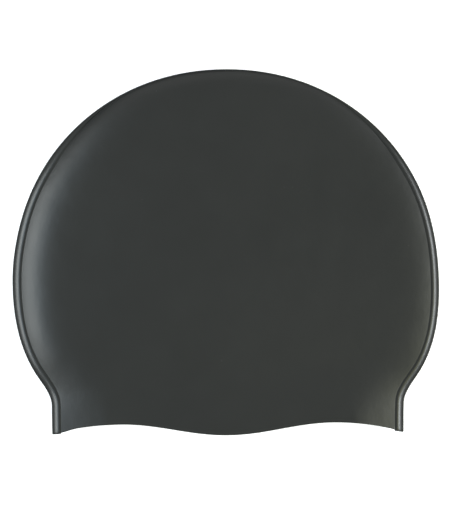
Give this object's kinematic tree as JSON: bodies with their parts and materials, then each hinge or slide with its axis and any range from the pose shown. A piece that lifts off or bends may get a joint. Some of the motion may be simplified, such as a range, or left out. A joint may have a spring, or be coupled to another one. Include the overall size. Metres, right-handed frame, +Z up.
{
  "type": "swim cap",
  "caption": "Moulded silicone swim cap lying flat, with thick side beads, a narrow neck and a wavy rim; it stretches over a swimmer's head and hair.",
  "frame": {"origin": "on the surface that the cap lies on, under the middle of its outline", "axes": "+X across the cap, +Y from the mouth to the crown, +Z up through both walls"},
  "size_m": [0.22, 0.1882, 0.015],
  "materials": {
    "silicone": "satin charcoal silicone, smooth, slightly duller inside"
  },
  "bodies": {
    "root": {"cap_shell": "silicone"}
  },
  "joints": []
}
